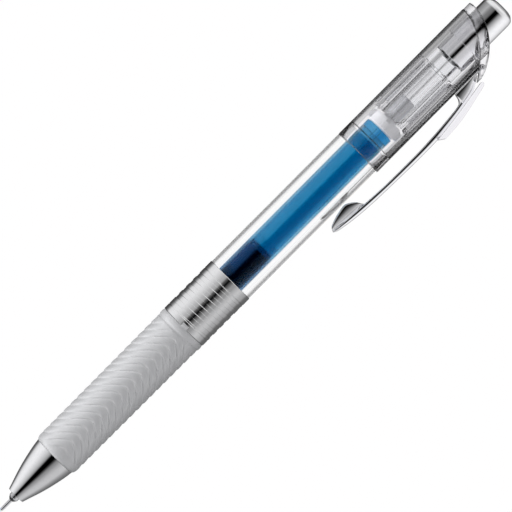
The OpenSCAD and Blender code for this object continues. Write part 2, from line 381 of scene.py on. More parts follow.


# painted reflection and shade, or painted light carried as emission, from the side away from the clip (-1) to the
# clip's side (1)
cone_painted_reflection = [(-1, 1.0), (0.1, 1.0), (0.3, 0.70), (0.5, 0.60), (0.7, 0.56), (0.8, 0.38), (0.9, 0.24),
              (1, 0.15)]
ring_painted_reflection = [(-1, 0.5), (-0.87, 0.5), (-0.8, 0.95), (0.1, 1.0), (0.3, 0.80), (0.55, 0.66), (0.7, 0.46),
              (0.8, 0.40), (0.87, 0.18), (1, 0.10)]
ring_painted_light = [(-1, 0.0), (-0.28, 0.0), (-0.15, 0.13), (-0.08, 0.07), (-0.03, 0.015), (0.02, 0.0), (0.06, 0.05),
             (0.12, 0.09), (0.2, 0.08), (0.3, 0.0), (1, 0.0)]
button_painted_reflection = [(-1, 0.28), (-0.75, 0.36), (-0.55, 0.50), (-0.35, 0.32), (-0.15, 0.42), (0.0, 1.0), (1, 1.0)]
sleeve_painted_reflection = [(-1, 0.90), (-0.6, 0.80), (-0.4, 0.78), (-0.25, 1.0), (1, 1.0)]
sleeve_painted_light = [(-1, 0.0), (-0.3, 0.0), (-0.2, 0.20), (-0.1, 0.17), (-0.05, 0.0), (0.05, 0.0), (0.1, 0.24),
               (0.17, 0.42), (0.25, 0.30), (0.4, 0.08), (0.6, 0.0), (1, 0.0)]
polish = ((0.93, 0.932, 0.94), (0.88, 0.885, 0.90), 0.03, 0.06, (1, 1, 1), 1.6, 0.015)
chrome = metal("chrome_plate", *polish)
cone_chrome = metal("cone_chrome", *polish, cone_painted_reflection)
button_chrome = metal("button_chrome", *polish, button_painted_reflection, sleeve_painted_light, sleeve_painted_reflection)
ring_chrome = metal("ring_chrome", (0.88, 0.882, 0.885), (0.82, 0.825, 0.83), 0.06, 0.10, (0.4, 0.4, 6),
                    3.0, 0.03, ring_painted_reflection, ring_painted_light)
needle_metal = metal("drawn_steel", (0.74, 0.74, 0.75), (0.55, 0.55, 0.57), 0.12, 0.28, (6, 6, 1), 4.0, 0.1)
holder_metal = metal("turned_nickel", (0.70, 0.70, 0.71), (0.52, 0.52, 0.54), 0.10, 0.25, (0.6, 0.6, 14),
                     3.0, 0.12, lengthways=[(0, 0.2), (3.5, 0.12), (3.62, 0.9), (20, 0.9)])
ball_metal = metal("carbide_ball", (0.50, 0.51, 0.53), (0.36, 0.37, 0.39), 0.10, 0.25, (1, 1, 1), 16.0, 0.1)
spring_metal = metal("spring_wire", (0.66, 0.66, 0.68), (0.46, 0.46, 0.48), 0.15, 0.30, (1, 1, 1), 9.0, 0.1)

# how dark the painted shade along the crown's two oblique edges is, by the distance from their arcs' centres
EDGE_SHADE = [(CROWN_UNDER, [(20.0, 0.0), (20.2, 0.0), (20.24, 1.0), (20.42, 1.0), (20.62, 0.0)]),
              (CROWN_DOME, [(13.1, 0.0), (13.28, 1.0), (13.6, 1.0)])]


def clear_plastic(name, tint, rim_shade=None, outside=0.0, ribs=None, line=None, edge_shade=None, core=0.0, arc_shade=None,
                  shade_above=None, rough=0.004, rough_to=0.012, ior=1.49, waves=0.004, gloss=0.16):
    """Clear moulded plastic; every tint multiplies the one before it.

    rim_shade: painted shade of the wall beyond the radius outside, from square on to edge on;
    ribs: a radius, a height and the painted shade by x of what stands in from that radius above that height;
    core: radius within which it is quite clear;
    line: painted dark reflection, as tint from the side away from the clip (-1) to the clip's side (1);
    spine: painted shade by x in mm; smoke: a height and the painted shade beyond it on the side away from the
    clip;
    arcs: painted shade by x along its two oblique edges."""
    p = Paint(name, Transmission_Weight=1.0, IOR=ior, Specular_Tint=(gloss, gloss, gloss))
    look = p.blend(p.noise(0.35, (1, 1, 0.35), 2.0, 0.5), tuple(c * 0.985 for c in tint), tint)
    x, away, z = p.where()
    # painted shade on the walls, by how square on they are seen
    if rim_shade:
        edge = p.facing(rim_shade)
        if outside:
            edge = p.blend(p.span(away, 0, 1, outside - 0.1, outside), WHITE, edge)
        look = p.times(look, edge)
    # painted shade on the guide ribs, by x
    if ribs:
        radius, height, stops = ribs
        inner = p.both(p.span(away, 1, 0, radius - 0.04, radius), p.span(z, 0, 1, height - 0.1, height))
        look = p.times(look, p.blend(inner, WHITE, p.ramp(x, stops, -4.5, 4.5)))
    if core:
        look = p.blend(p.span(away, 0, 1, core - 0.03, core), (0.985, 0.985, 0.99), look)
    # a painted dark reflection line down the middle, where x is near 0
    if line:
        look = p.times(look, p.ramp(p.maths("DIVIDE", x, away), line, -1, 1))
    # painted shade towards the wall's edges on both sides, by x
    if edge_shade:
        look = p.times(look, p.ramp(x, edge_shade, -10, 10))
    # painted shade above a height, on the side away from the clip
    if shade_above:
        height, grey = shade_above
        shaded = p.both(p.span(z, 0, 1, height - 0.1, height + 0.1), p.span(x, 1, 0, -3.9, -3.4))
        look = p.times(look, p.blend(shaded, WHITE, (grey, grey, grey)))
    # painted shade along the two oblique edges, broken by noise
    if arc_shade:
        dark = p.ramp(x, arc_shade, -6, 9)
        breaks = p.span(p.noise(0.9, detail=1.0), 0.45, 1, 0.42, 0.54)
        breaks = p.both(breaks, p.span(away, 0, 1, 5.15, 5.3))
        for (centre_x, centre_z, _), stops in EDGE_SHADE:
            far = p.distance(p.maths("SUBTRACT", x, centre_x), p.maths("SUBTRACT", z, centre_z))
            edge = p.both(p.ramp(far, stops, stops[0][0], stops[-1][0]), breaks)
            look = p.times(look, p.blend(edge, WHITE, dark))
    p.link(look, "Base Color")
    p.roughness(p.noise(2.5, (1, 1, 0.5), 3.0), rough, rough_to, 0.35)
    p.bump(p.noise(0.5, (1, 1, 0.3), 2.0), waves, 0.2)
    p.lets_light_in((0.93, 0.93, 0.94))
    return p.material


# the radius that only the barrels' outer walls lie beyond
WALL_OUT = 5.3
# painted shade on the guide ribs, by x in mm
rib_painted_bands = [(-4.5, 0.66), (-2.6, 0.62), (-2.0, 0.36), (-1.6, 0.42), (-1.1, 0.72), (0.0, 0.97), (2.1, 1.0),
             (2.9, 0.7), (4.5, 0.62)]
# painted shade of the clear walls, from square on (0) to edge on (1)
barrel_rim_shade = [(0, 1.0), (0.40, 0.97), (0.47, 0.80), (0.55, 0.22), (0.68, 0.12), (0.78, 0.4), (0.9, 0.9),
              (1, 0.95)]
upper_rim_shade = [(0, 1.0), (0.36, 1.0), (0.42, 0.92), (0.47, 0.55), (0.54, 0.10), (0.72, 0.03), (0.86, 0.10),
             (1, 0.5)]
crown_rim_shade = [(0, 1.0), (0.3, 0.96), (0.45, 0.62), (0.62, 0.30), (0.85, 0.16), (1, 0.2)]
cover_rim_shade = [(0, 1.0), (0.4, 0.98), (0.7, 0.75), (1, 0.5)]
barrel_clear = clear_plastic("clear_barrel", (0.985, 0.985, 0.99), barrel_rim_shade, WALL_OUT)
upper_clear = clear_plastic("clear_upper_barrel", (0.925, 0.922, 0.934), upper_rim_shade, WALL_OUT,
                            (4.4, 112.0, rib_painted_bands), gloss=0.06, shade_above=(129.4, 0.67),
                            edge_shade=[(-10, 0.5), (-5.0, 0.5), (-4.75, 1.0), (4.7, 1.0), (4.95, 0.5), (10, 0.5)])
crown_clear = clear_plastic("clear_crown", (0.90, 0.895, 0.915), crown_rim_shade, core=4.45, ior=1.52,
                            arc_shade=[(-6, 0.03), (-3.8, 0.05), (-2.8, 0.16), (1.5, 0.14), (2.6, 0.05),
                                  (4.6, 0.07), (6, 0.3), (9, 0.5)])
cover_clear = clear_plastic("clear_cover", (0.88, 0.87, 0.905), cover_rim_shade, ior=1.50)
cam_clear = clear_plastic("frosted_cam", (0.96, 0.965, 0.97), rough=0.02, rough_to=0.05, waves=0.008,
                          gloss=0.3, line=[(-1, 1.0), (-0.12, 1.0), (-0.05, 0.72), (0.05, 0.72),
                                           (0.12, 1.0), (1, 1.0)])

# x towards the clip, in mm, and the colour of one wall there, with painted light in its lit bands and painted
# shade between them
blue_painted_bands = [(-3.4, (0.06, 0.26, 0.48)), (-3.05, (0.09, 0.34, 0.56)), (-2.7, (0.16, 0.49, 0.69)),
              (-0.7, (0.14, 0.47, 0.67)), (-0.25, (0.0, 0.34, 0.55)), (0.2, (0.0, 0.30, 0.51)),
              (1.6, (0.0, 0.29, 0.50)), (2.0, (0.02, 0.37, 0.58)), (2.5, (0.12, 0.48, 0.68)),
              (2.8, (0.15, 0.48, 0.68)), (3.05, (0.10, 0.36, 0.58)), (3.4, (0.07, 0.28, 0.50))]
tail_painted_bands = [(-3.4, (0.03, 0.22, 0.46)), (-2.5, (0.05, 0.30, 0.57)), (-1.9, (0.07, 0.33, 0.615)),
              (-0.63, (0.10, 0.37, 0.62)), (0.0, (0.05, 0.27, 0.52)), (0.63, (0.025, 0.20, 0.46)),
              (1.25, (0.005, 0.18, 0.43)), (1.9, (0.04, 0.28, 0.56)), (2.5, (0.09, 0.38, 0.66)),
              (3.1, (0.15, 0.45, 0.72)), (3.4, (0.08, 0.33, 0.60))]
BLUE_HALF = 3.5
REFILL_R = 3.35
# heights over which the refill's look changes
INK_END = (76.0, 77.8)
PLUG_FRONT = (105.8, 106.0)
PLUG_SHOULDER = (109.0, 109.15)
TUBE_END = (110.4, 110.6)
# painted shade by distance from the middle, either side
painted_inked_edges = [(0, 1.0), (2.3, 1.0), (2.6, (0.4, 0.42, 0.52)), (3.5, (0.4, 0.42, 0.52))]


def blue_plastic(name, tail=False):
    """The refill's tube, or its tail plug."""
    p = Paint(name, Transmission_Weight=1.0, IOR=1.40, Specular_Tint=(0.1, 0.14, 0.2))
    x, away, z = p.where()
    if tail:
        # painted light and shade in bands by x; paler where it sits in the tube, and clear round its own bore
        banded = p.ramp(x, tail_painted_bands, -BLUE_HALF, BLUE_HALF)
        look = p.blend(p.span(z, 0, 1, *TUBE_END), (0.70, 0.90, 0.98), banded)
        look = p.blend(p.span(away, 0, 1, 0.6, 0.7), (0.95, 0.98, 1.0), look)
    else:
        cloud = p.ramp(p.noise(0.8, (1, 1, 0.3), 3.0), [(0, 0.95), (1, 1.0)])
        # painted light and shade in bands by x
        look = p.times(p.ramp(x, blue_painted_bands, -BLUE_HALF, BLUE_HALF), cloud)
        # painted shade: where the ink lies behind it, the wall darkens out to its edges
        painted_inked = p.ramp(p.maths("ABSOLUTE", x), painted_inked_edges, 0, BLUE_HALF)
        look = p.times(look, p.blend(p.span(z, 0, 1, *INK_END), painted_inked, WHITE))
        # deeper blue where the plug fills the tube, from its rounded front to its shoulder, and paler beyond
        bow = p.maths("POWER", p.maths("ABSOLUTE", p.maths("DIVIDE", x, REFILL_R)), 4)
        deep = p.both(p.span(p.maths("SUBTRACT", z, bow), 0, 1, *PLUG_FRONT), p.span(z, 1, 0, *PLUG_SHOULDER))
        look = p.times(look, p.blend(deep, WHITE, (0.55, 0.90, 0.93)))
        look = p.blend(p.span(z, 0, 0.22, *PLUG_SHOULDER), look, WHITE)
    p.link(look, "Base Color")
    p.roughness(p.noise(5.0, (1, 1, 0.4)), 0.02, 0.06)
    p.bump(p.noise(1.2, (1, 1, 0.3)), 0.015, 0.1)
    p.lets_light_in((0.45, 0.72, 0.88))
    return p.material


def follower_look():
    """Clear grease, inky at the end that touches the ink."""
    p = Paint("follower_grease", Transmission_Weight=1.0, IOR=1.40, Specular_Tint=(0.1, 0.1, 0.2))
    z = p.where()[2]
    look = p.blend(p.span(z, 0, 1, 77.4, 77.9), (0.30, 0.22, 0.32), (0.93, 0.97, 0.99))
    p.link(p.times(look, p.ramp(p.noise(1.5), [(0, 0.92), (1, 1.0)])), "Base Color")
    p.roughness(p.noise(6.0), 0.05, 0.1)
    p.lets_light_in((0.5, 0.7, 0.85))
    return p.material


def moulded(name, first, second, painted_glow=0.0):
    """Opaque moulded plastic, faintly cloudy; glow: painted light, the piece glowing in its own colour."""
    p = Paint(name)
    look = p.blend(p.span(p.noise(1.5, (1, 1, 0.6), 3.0), 0, 1, *GRAIN), first, second)
    p.link(look, "Base Color")
    # painted light: the piece glows in its own colour
    if painted_glow:
        p.link(look, "Emission Color")
        p.set("Emission Strength", painted_glow)
    p.roughness(p.noise(6.0), 0.3, 0.45)
    p.bump(p.noise(4.5), 0.05, 0.05)
    return p.material


def ink_paint():
    """Dark ink, with painted light on the side away from the clip and a little on the clip's side, and painted
    shade in its middle.
    """
    p = Paint("gel_ink")
    # painted light on the side away from the clip, painted shade in the middle, a little painted light on the
    # clip's side
    upper, core, lower = (0.045, 0.11, 0.21), (0.0, 0.0, 0.012), (0.02, 0.02, 0.08)
    painted_bands = [(-2.7, upper), (-0.9, upper), (-0.35, core), (1.3, core), (2.0, lower), (2.7, lower)]
    cloud = p.ramp(p.noise(1.5, (1, 1, 0.6), 3.0), [(0, 0.9), (1, 1.0)])
    look = p.times(p.ramp(p.where()[0], painted_bands, -2.8, 2.8), cloud)
    p.link(look, "Base Color")
    p.roughness(p.noise(6.0), 0.3, 0.45)
    p.bump(p.noise(4.5), 0.05, 0.05)
    return p.material


def rubber_look():
    """Satin rubber, with painted highlights in the chevron grooves and painted shade towards its edges."""
    p = Paint("grip_rubber", Specular_IOR_Level=0.5)
    cloud = p.span(p.noise(0.9, (1, 1, 0.6), 4.0, 0.6), 0, 1, *GRAIN)
    look = p.blend(cloud, (0.465, 0.469, 0.48), (0.495, 0.499, 0.51))
    # painted shade towards the edges, by how edge on the surface is seen
    edge = p.facing([(0, 1.0), (0.2, 0.98), (0.3, 0.9), (0.4, 0.76), (0.6, 0.6), (1, 0.5)])
    away, z = p.where()[1:]
    # the grip widens by 0.0032 mm for each mm, so the groove's floor rises with it
    level = p.maths("SUBTRACT", away, p.both(p.maths("SUBTRACT", z, 17.8), 0.0032))
    groove = p.both(p.span(level, 1, 0, 5.2, 5.33), p.span(z, 0, 1, 17.9, 18.6))
    groove = p.both(groove, p.span(z, 1, 0, 51.6, 52.0))
    # a painted highlight in the grooves
    look = p.blend(groove, look, (0.68, 0.685, 0.695))
    p.link(p.times(look, edge), "Base Color")
    p.roughness(p.noise(3.0, detail=3.0), 0.42, 0.54)
    p.bump(p.noise(3.0, detail=2.0), 0.05, 0.03)
    return p.material


refill_blue = blue_plastic("blue_refill")
plug_look = blue_plastic("tail_plug", tail=True)
ink_look = ink_paint()
grease_look = follower_look()
nozzle_look = moulded("nozzle_plastic", (0.10, 0.33, 0.58), (0.13, 0.38, 0.64))
# the rotor carries painted glow
rotor_look = moulded("rotor_plastic", (0.70, 0.705, 0.72), (0.76, 0.765, 0.775), painted_glow=0.16)
grip_rubber = rubber_look()

# ---- writing tip and refill: outlines of (height, radius) and, where given, a corner's own rounding ----

half_turn = [math.pi * k / 24 for k in range(25)]
turned("ball", [(0.25 - 0.25 * math.cos(t), 0.25 * math.sin(t)) for t in half_turn],
       "ball", ball_metal, 48, nodes=["writing_ball"], slot="ball_metal")

needle_outline = [(0.14, 0.275, 0.01), (0.14, 0.32, 0.02), (0.9, 0.4, 0.1), (3.0, 0.4, 0), (5.45, 0.4),
                  (5.45, 0.26), (1.2, 0.26), (1.2, 0.13, 0), (0.5, 0.13, 0), (0.5, 0.27, 0)]
turned("needle", rounded(needle_outline, 0.02),
       "refill", needle_metal, 64, nodes=["needle_tube"], slot="needle_steel")

holder_outline = [(3.0, 0.41, 0.02), (3.0, 0.46, 0.03), (3.3, 0.76, 0.1), (3.66, 1.0, 0.05),
                  (3.74, 1.08, 0.05), (9.55, 1.08, 0.05), (9.6, 1.45, 0.08), (10.4, 1.45, 0.08),
                  (10.4, 1.04), (15, 1.04), (15, 0.56), (5.6, 0.56), (5.5, 0.41, 0)]
turned("holder", rounded(holder_outline, 0.03),
       "refill", holder_metal, 96, nodes=["tip_holder"], slot="holder_metal")

nozzle_outline = [(10.42, 1.06), (10.42, 1.62), (21.2, 1.62), (21.2, 3.05), (22, 3.05), (22, REFILL_R),
                  (24, REFILL_R), (24, 2.78), (29, 2.78), (29, 1.0), (15, 1.0), (15, 1.06)]
turned("nozzle", rounded(nozzle_outline, 0.1),
       "refill", nozzle_look, 96, nodes=["refill_nozzle"], slot="nozzle_plastic")

turned("refill_wall", rounded([(24.02, REFILL_R), (110.55, REFILL_R), (110.55, 2.8), (24.02, 2.8)], 0.05),
       "refill", refill_blue, nodes=["refill_tube"], slot="refill_plastic")

ink_outline = [(15.1, 1e-5, 0), (15.1, 0.97), (29.1, 0.97, 0.02), (29.1, 2.77, 0.3), (76.45, 2.77, 0.03),
               (76.45, 1e-5, 0)]
turned("ink_body", rounded(ink_outline, 0.05),
       "refill", ink_look, 96, nodes=["ink_column"], slot="ink")

follower_outline = [(76.47, 1e-5, 0), (76.47, 2.77, 0.03), (79.3, 2.77, 0.3), (79.0, 1.6, 0.8), (78.9, 1e-5, 0)]
turned("follower_body", rounded(follower_outline, 0.05),
       "refill", grease_look, 96, nodes=["ink_follower"], slot="follower_grease")

plug_outline = [(106.1, 0.5), (106.1, 2.6, 0.3), (106.6, 2.785), (110.6, 2.785), (110.62, REFILL_R, 0.05),
                (112.25, REFILL_R, 0.25), (112.25, 0.5, 0.1)]
turned("plug_body", rounded(plug_outline, 0.05),
       "refill", plug_look, 96, nodes=["refill_tail_plug"], slot="tail_plastic")

# ---- return spring: ground flat coils at both ends, open coils between ----


def spring():
    seat, shoulder, wire, mean, coils = 7.42, 21.16, 0.16, 1.98, 9
    turns = np.linspace(0, coils, coils * 36 + 1)
    rise = np.interp(turns, [0, 1, coils - 1, coils],
                     [seat + wire, seat + wire * 3.2, shoulder - wire * 3.2, shoulder - wire])
    section = angles(12)
    rings = []
    for turn, z in zip(turns, rise):
        a = 2 * math.pi * turn
        r = mean + wire * np.cos(section)
        rings.append(np.stack([r * math.cos(a), r * math.sin(a), z + wire * np.sin(section)], 1))
    obj = skin("spring_coil", rings, None, spring_metal, closed=False, nodes=["return_spring"],
               slot="spring_steel")
    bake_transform(obj)


spring()

# ---- front cone, grip and ring ----

cone_side = flowing([(4.5, 2.0), (6.1, 2.52), (8.15, 3.20), (10.25, 3.80), (12.35, 4.30), (14.45, 4.72),
                     (15.98, 4.93)])
cone_front = [(4.62, 1.2), (4.5, 1.27), (4.45, 1.36), (4.45, 1.86), (4.46, 1.94)]
cone_inside = [(16.06, 4.93), (16.09, 4.88), (16.09, 4.03), (12.35, 4.03), (11.2, 2.3), (7.4, 2.3), (7.4, 1.2)]
turned("cone", cone_front + cone_side + cone_inside,
       "barrel", cone_chrome, 160, nodes=["front_cone"], slot="chrome")


def grip():
    """The rubber sleeve, with chevron ridges that point towards the button, and its two keys in the ring."""
    front, chevrons_end, bore = 16.1, 52.3, 4.6
    pitch, depth, steps = 2.0, 0.20, 27
    first = 18.92 - pitch * 4
    a = angles(192)
    # how far each point of a chevron lies in front of its apex
    x = 5.46 * np.cos(a)
    apex, round_off = 0.4, 1.2
    lean = 1.05 * (np.sqrt((x - apex) ** 2 + round_off ** 2) - round_off)
    # one ridge and groove: the share of the pitch, and how much of the groove's depth is cut there
    cuts = [0, 0.03, 0.07, 0.12, 0.18, 0.27, 0.4, 0.6, 0.8, 0.92, 0.97]
    shape = ([0, 0.03, 0.07, 0.12, 0.18, 0.27, 0.4, 0.6, 0.8, 0.92, 1],
             [0.9, 0.66, 0.36, 0.15, 0.05, 0, 0.04, 0.2, 0.45, 0.63, 0.78])
    back = (52.3, 52.36, 52.42, 52.5, 52.6, 52.7, 52.78, 52.86, 52.95, 53.05, 53.3, 53.55, 53.66, 53.76,
            53.86, 54.0, 54.1)

    def radius(z):
        heights = [16.1, 16.22, 16.5, 17.1, 17.8, 52.15, 52.38, 52.6, 52.78, 53.0, 53.6, 53.86, 54.13]
        return np.interp(z, heights, [4.95, 5.08, 5.25, 5.38, 5.41, 5.52, 5.42, 5.46, 5.57, 5.62, 5.62, 5.54, 5.5])

    rings = []
    for step in range(steps):
        for cut in cuts:
            z = np.clip(first + pitch * (step + cut) - lean, front, chevrons_end)
            fade = np.interp(z, [front + 0.9, front + 2.2, 51.2, 52.1], [0, 1, 1, 0])
            rings.append(circle(radius(z) - depth * fade * np.interp(cut, *shape), z, a))
    rings += [circle(radius(z), z, a) for z in back]
    rings += [circle(r, z, a) for z, r in ((54.13, 5.44), (54.13, bore), (front, bore))]
    skin("grip", rings, "barrel", grip_rubber, nodes=["rubber_grip"], crease=50, slot="grip_rubber")

    # a small key on either side, each a curved plate that stands out into the ring's edge
    count = 9
    reach = np.radians(np.linspace(-6.5, 9.5, count) + 90)
    under = 5.4
    for facing in (-1, 1):
        rings = []
        for z, r in ((54.08, 5.45), (54.08, 5.62), (54.14, 5.655), (54.85, 5.66), (54.97, 5.63),
                     (55.0, 5.45)):
            height = np.full(count, z)
            upper = np.stack([-r * np.cos(reach), facing * r * np.sin(reach), height], 1)
            lower = np.stack([-under * np.cos(reach), facing * under * np.sin(reach), height], 1)
            rings.append(np.concatenate([upper, lower[::-1]]))
        skin("grip_key", rings, "barrel", grip_rubber, closed=False, crease=40, slot="grip_rubber")


grip()


def ring():
    """The chrome ring, with one shallow helical groove and a fine line near each end."""
    pitch, turns, half_groove, slope = 2.04, 5, 0.56, 0.09
    groove_start, groove_depth, line_depth, bore = 56.41, 0.11, 0.09, 5.03
    a = angles(180)
    degrees = (np.degrees(a) + 180) % 360
    front = [54.17, 54.19, 54.23, 54.3]
    back = [67.85, 67.93, 67.99, 68.03, 68.05]
    heights = front + list(np.arange(54.4, 67.81, 0.04)) + back
    edge = np.interp(heights, [54.17, 54.23, 54.3, 67.93, 68.0, 68.05], [5.52, 5.6, 5.62, 5.62, 5.6, 5.52])
    rings = []
    for z, r in zip(heights, edge):
        dip = np.zeros(len(a))
        for line in (55.58, 66.03):
            dip = np.maximum(dip, line_depth * np.clip(1.6 - abs(z - line) / 0.07, 0, 1))
        # the groove comes in over the first 60 degrees, and ends between 160 and 200 degrees of its last turn
        for k in range(turns):
            centre = groove_start + pitch * k + pitch * (degrees - 90) / 360
            share = np.clip((half_groove - abs(z - centre)) / slope, 0, 1)
            share = share * share * (3 - 2 * share)
            if k == 0:
                share *= np.clip(degrees / 60, 0, 1)
            if k == turns - 1:
                share *= np.clip((200 - degrees) / 40, 0, 1)
            dip = np.maximum(dip, groove_depth * share)
        rings.append(circle(r - dip, z, a))
    rings += [circle(bore, z, a) for z in (68.05, 54.17)]
    skin("ring", rings, "barrel", ring_chrome, nodes=["grooved_ring"], crease=50, slot="chrome")


ring()

# ---- lower barrel: sleeve under grip and ring, clear wall, spigot inside the upper barrel ----

barrel_outline = [(12.4, 3.74), (12.4, 4.0), (17.0, 4.0), (17.1, 4.55), (54.1, 4.55), (54.3, 5.0),
                  (68.07, 5.0, 0.02), (68.07, 5.46, 0.06), (105.58, 5.46, 0.08), (105.6, 4.9, 0.05),
                  (108.85, 4.9, 0.15), (108.85, 4.2, 0.1), (105.9, 4.2, 0.2), (105.7, 4.43, 0.2),
                  (67.6, 4.43, 0.1), (67.4, 4.1, 0.1), (55.2, 4.1), (54.9, 3.74)]
turned("barrel_front", rounded(barrel_outline, 0.06, 3),
       "barrel", barrel_clear, 160, nodes=["lower_barrel"], slot="clear_plastic")

# ---- upper barrel: a round wall with a low spine, an oblique end, and eight guide ribs in its bore ----


def upper():
    wall, bore, socket, front = 5.5, 4.45, 4.93, 105.74
    a = angles(320)
    ca, sa = np.cos(a), np.sin(a)
    # the spine is a thin bar of its own radius, joined smoothly to the wall
    spine_x, spine_r, sharp = 3.3, 2.6, 14
    inside = spine_r ** 2 - (spine_x * sa) ** 2
    reach = np.where((inside > 0) & (ca > 0), spine_x * ca + np.sqrt(np.maximum(inside, 0)), 0)
    joined = np.log(np.exp(wall * sharp) + np.exp(reach * sharp)) / sharp
    outer = np.where(reach > 0, joined, wall)
    # the ribs, with a slanted front end
    rib_pitch, rib_height, rib_top = 2 * math.pi / 8, 0.7, 129.1
    across = ((a % rib_pitch) - rib_pitch / 2) * 4.2
    rib = np.clip((0.74 - abs(across)) / 0.08, 0, 1)
    slant = 115.2 + (across + 0.7) * 0.78
    rings = []

    def ring_at(r, z):
        rings.append(circle(r, z, a))

    end_out = arc_z(outer * ca, BARREL_END)
    end_in = arc_z(bore * ca, BARREL_END)
    ring_at(outer - 0.09, 105.62)
    ring_at(outer - 0.02, 105.66)
    ring_at(outer, front)
    for t in np.linspace(0, 1, 40)[1:]:
        ring_at(outer, front + (end_out - front - 0.12) * t)
    ring_at(outer - 0.03, end_out - 0.04)
    ring_at(outer - 0.10, arc_z((outer - 0.1) * ca, BARREL_END))
    ring_at(bore + 0.08, arc_z((bore + 0.08) * ca, BARREL_END))
    ring_at(bore + 0.02, end_in - 0.03)
    ring_at(bore, end_in - 0.1)
    top = np.minimum(end_in - 0.4, 131.5)
    for t in np.linspace(1, 0, 6):
        ring_at(bore, top + (end_in - 0.2 - top) * t)
    for z, share in ((129.42, 0), (129.38, 0.3), (129.3, 0.9), (129.2, 1)):
        ring_at(bore - rib_height * rib * share, z)
    for t in np.linspace(1, 0, 14):
        ring_at(bore - rib_height * rib, slant + 0.2 + (rib_top - slant - 0.2) * t)
    for rise, share in ((0.12, 0.9), (0.05, 0.4), (0, 0)):
        ring_at(bore - rib_height * rib * share, slant + rise)
    for t in np.linspace(1, 0, 6):
        ring_at(bore, 109.6 + (slant - 0.1 - 109.6) * t)
    for r, z in ((4.47, 109.5), (4.9, 109.3), (socket, 109.2), (socket, 105.7), (4.98, 105.62)):
        ring_at(r, z)
    skin("barrel_back", rings, "barrel", upper_clear, nodes=["upper_barrel"], crease=38, slot="clear_plastic")


upper()


def crown():
    """The clear cap, between the barrel's oblique end and its own domed top."""
    # its outline seen along the pen: a circle, and the block that holds the clip's root
    half, far, round_r, hole, lip, power, sharp = 2.9, 7.55, 5.4, 3.84, 4.45, 12, 10.0
    a = angles(240)
    ca, sa = np.cos(a), np.sin(a)
    corner = (np.maximum(ca, 0) / far) ** power + (abs(sa) / half) ** power
    block = np.where(ca > 0.05, corner ** (-1 / power), 0)
    joined = np.log(np.exp(round_r * sharp) + np.exp(np.minimum(block, 9) * sharp)) / sharp
    outer = np.where(block > round_r - 0.6, joined, round_r)
    rings = []

    def under(r):
        return arc_z(r * ca, CROWN_UNDER)

    def top(r):
        return arc_z(r * ca, CROWN_DOME)

    def ring_at(r, z):
        rings.append(circle(r, z, a))

    thick = np.maximum(top(outer) - under(outer), 0.02)
    edge = np.minimum(0.12, thick * 0.3)
    ring_at(outer - 0.12, under(outer - 0.12))
    ring_at(outer - 0.03, under(outer) + edge * 0.25)
    for t in np.linspace(0, 1, 9):
        ring_at(outer, under(outer) + edge + (thick - 2.2 * edge) * t)
    ring_at(outer - 0.035, top(outer) - edge * 0.4)
    for t in np.linspace(0, 1, 8):
        r = (outer - 0.13) * (1 - t) + (hole + 0.1) * t
        ring_at(r, top(r))
    hole_top = top(hole)
    skirt = np.minimum(under(hole), 137.0)
    ring_at(hole + 0.02, hole_top - 0.03)
    ring_at(hole, hole_top - 0.12)
    for t in np.linspace(0, 1, 8)[1:]:
        ring_at(hole, hole_top - 0.12 + (skirt + 0.1 - hole_top + 0.12) * t)
    ring_at(hole + 0.08, skirt)
    ring_at(4.33, skirt)
    ring_at(4.41, skirt + 0.08)
    ring_at(4.415, under(4.43) - 0.02)
    for t in np.linspace(0, 1, 9)[:-1]:
        r = lip * (1 - t) + (outer - 0.12) * t
        ring_at(r, under(r))
    skin("crown_cap", rings, "barrel", crown_clear, nodes=["crown"], crease=38, slot="clear_plastic")


crown()

# ---- clip and its cover: lines of (x, z) pairs, seen from the side ----


def strap(name, inner, outer, section, **more):
    """A chrome bar of the clip between two lines; section: share of the way out, and half width there."""
    rings = []
    for (xi, zi), (xo, zo) in zip(inner, outer):
        near = [(xi + (xo - xi) * t, -w, zi + (zo - zi) * t) for t, w in section]
        rings.append(near + [(x, -y, z) for x, y, z in reversed(near)])
    skin(name, rings, "clip", chrome, closed=False, slot="chrome", crease=60, **more)


def along_line(line, heights):
    x, z = zip(*line)
    return [(float(np.interp(h, z, x)), float(h)) for h in heights]


def moved(line, shift):
    return [(x + shift, z) for x, z in line]


blade_in = flowing([(8.12, 90.25), (8.45, 94.9), (8.66, 98.4), (8.90, 102.2), (9.05, 105.5), (9.10, 110),
                    (9.08, 115), (8.95, 118), (8.75, 121.3), (8.36, 125.7), (8.02, 127.8), (7.2, 131.0),
                    (6.6, 133.2), (6.2, 134.6)])
blade_out = flowing([(8.30, 90.25), (8.75, 91.2), (9.10, 93.0), (9.40, 95.1), (9.62, 97.2), (9.82, 100.1),
                     (9.98, 104.3), (10.10, 109), (10.18, 114.5), (10.12, 119.2), (9.90, 121.05),
                     (9.39, 125.2), (8.76, 129.4), (8.40, 131.3), (7.5, 133.0), (6.5, 134.65)])


def blade_middle(heights):
    """The line halfway through the blade."""
    pairs = zip(along_line(blade_in, heights), along_line(blade_out, heights))
    return [((a[0] + b[0]) / 2, a[1]) for a, b in pairs]


blade_heights = np.concatenate([np.linspace(90.25, 92, 8), np.linspace(92.4, 128.3, 66)])
blade_section = [(0.03, 1.2), (0.0, 1.7), (0.03, 1.83), (0.1, 1.86), (0.3, 1.865), (0.48, 1.86), (0.58, 1.82),
                 (0.68, 1.74), (0.8, 1.6), (0.92, 1.40), (1.0, 1.1)]
strap("clip_blade", along_line(blade_in, blade_heights), along_line(blade_out, blade_heights), blade_section,
      nodes=["pocket_clip"])

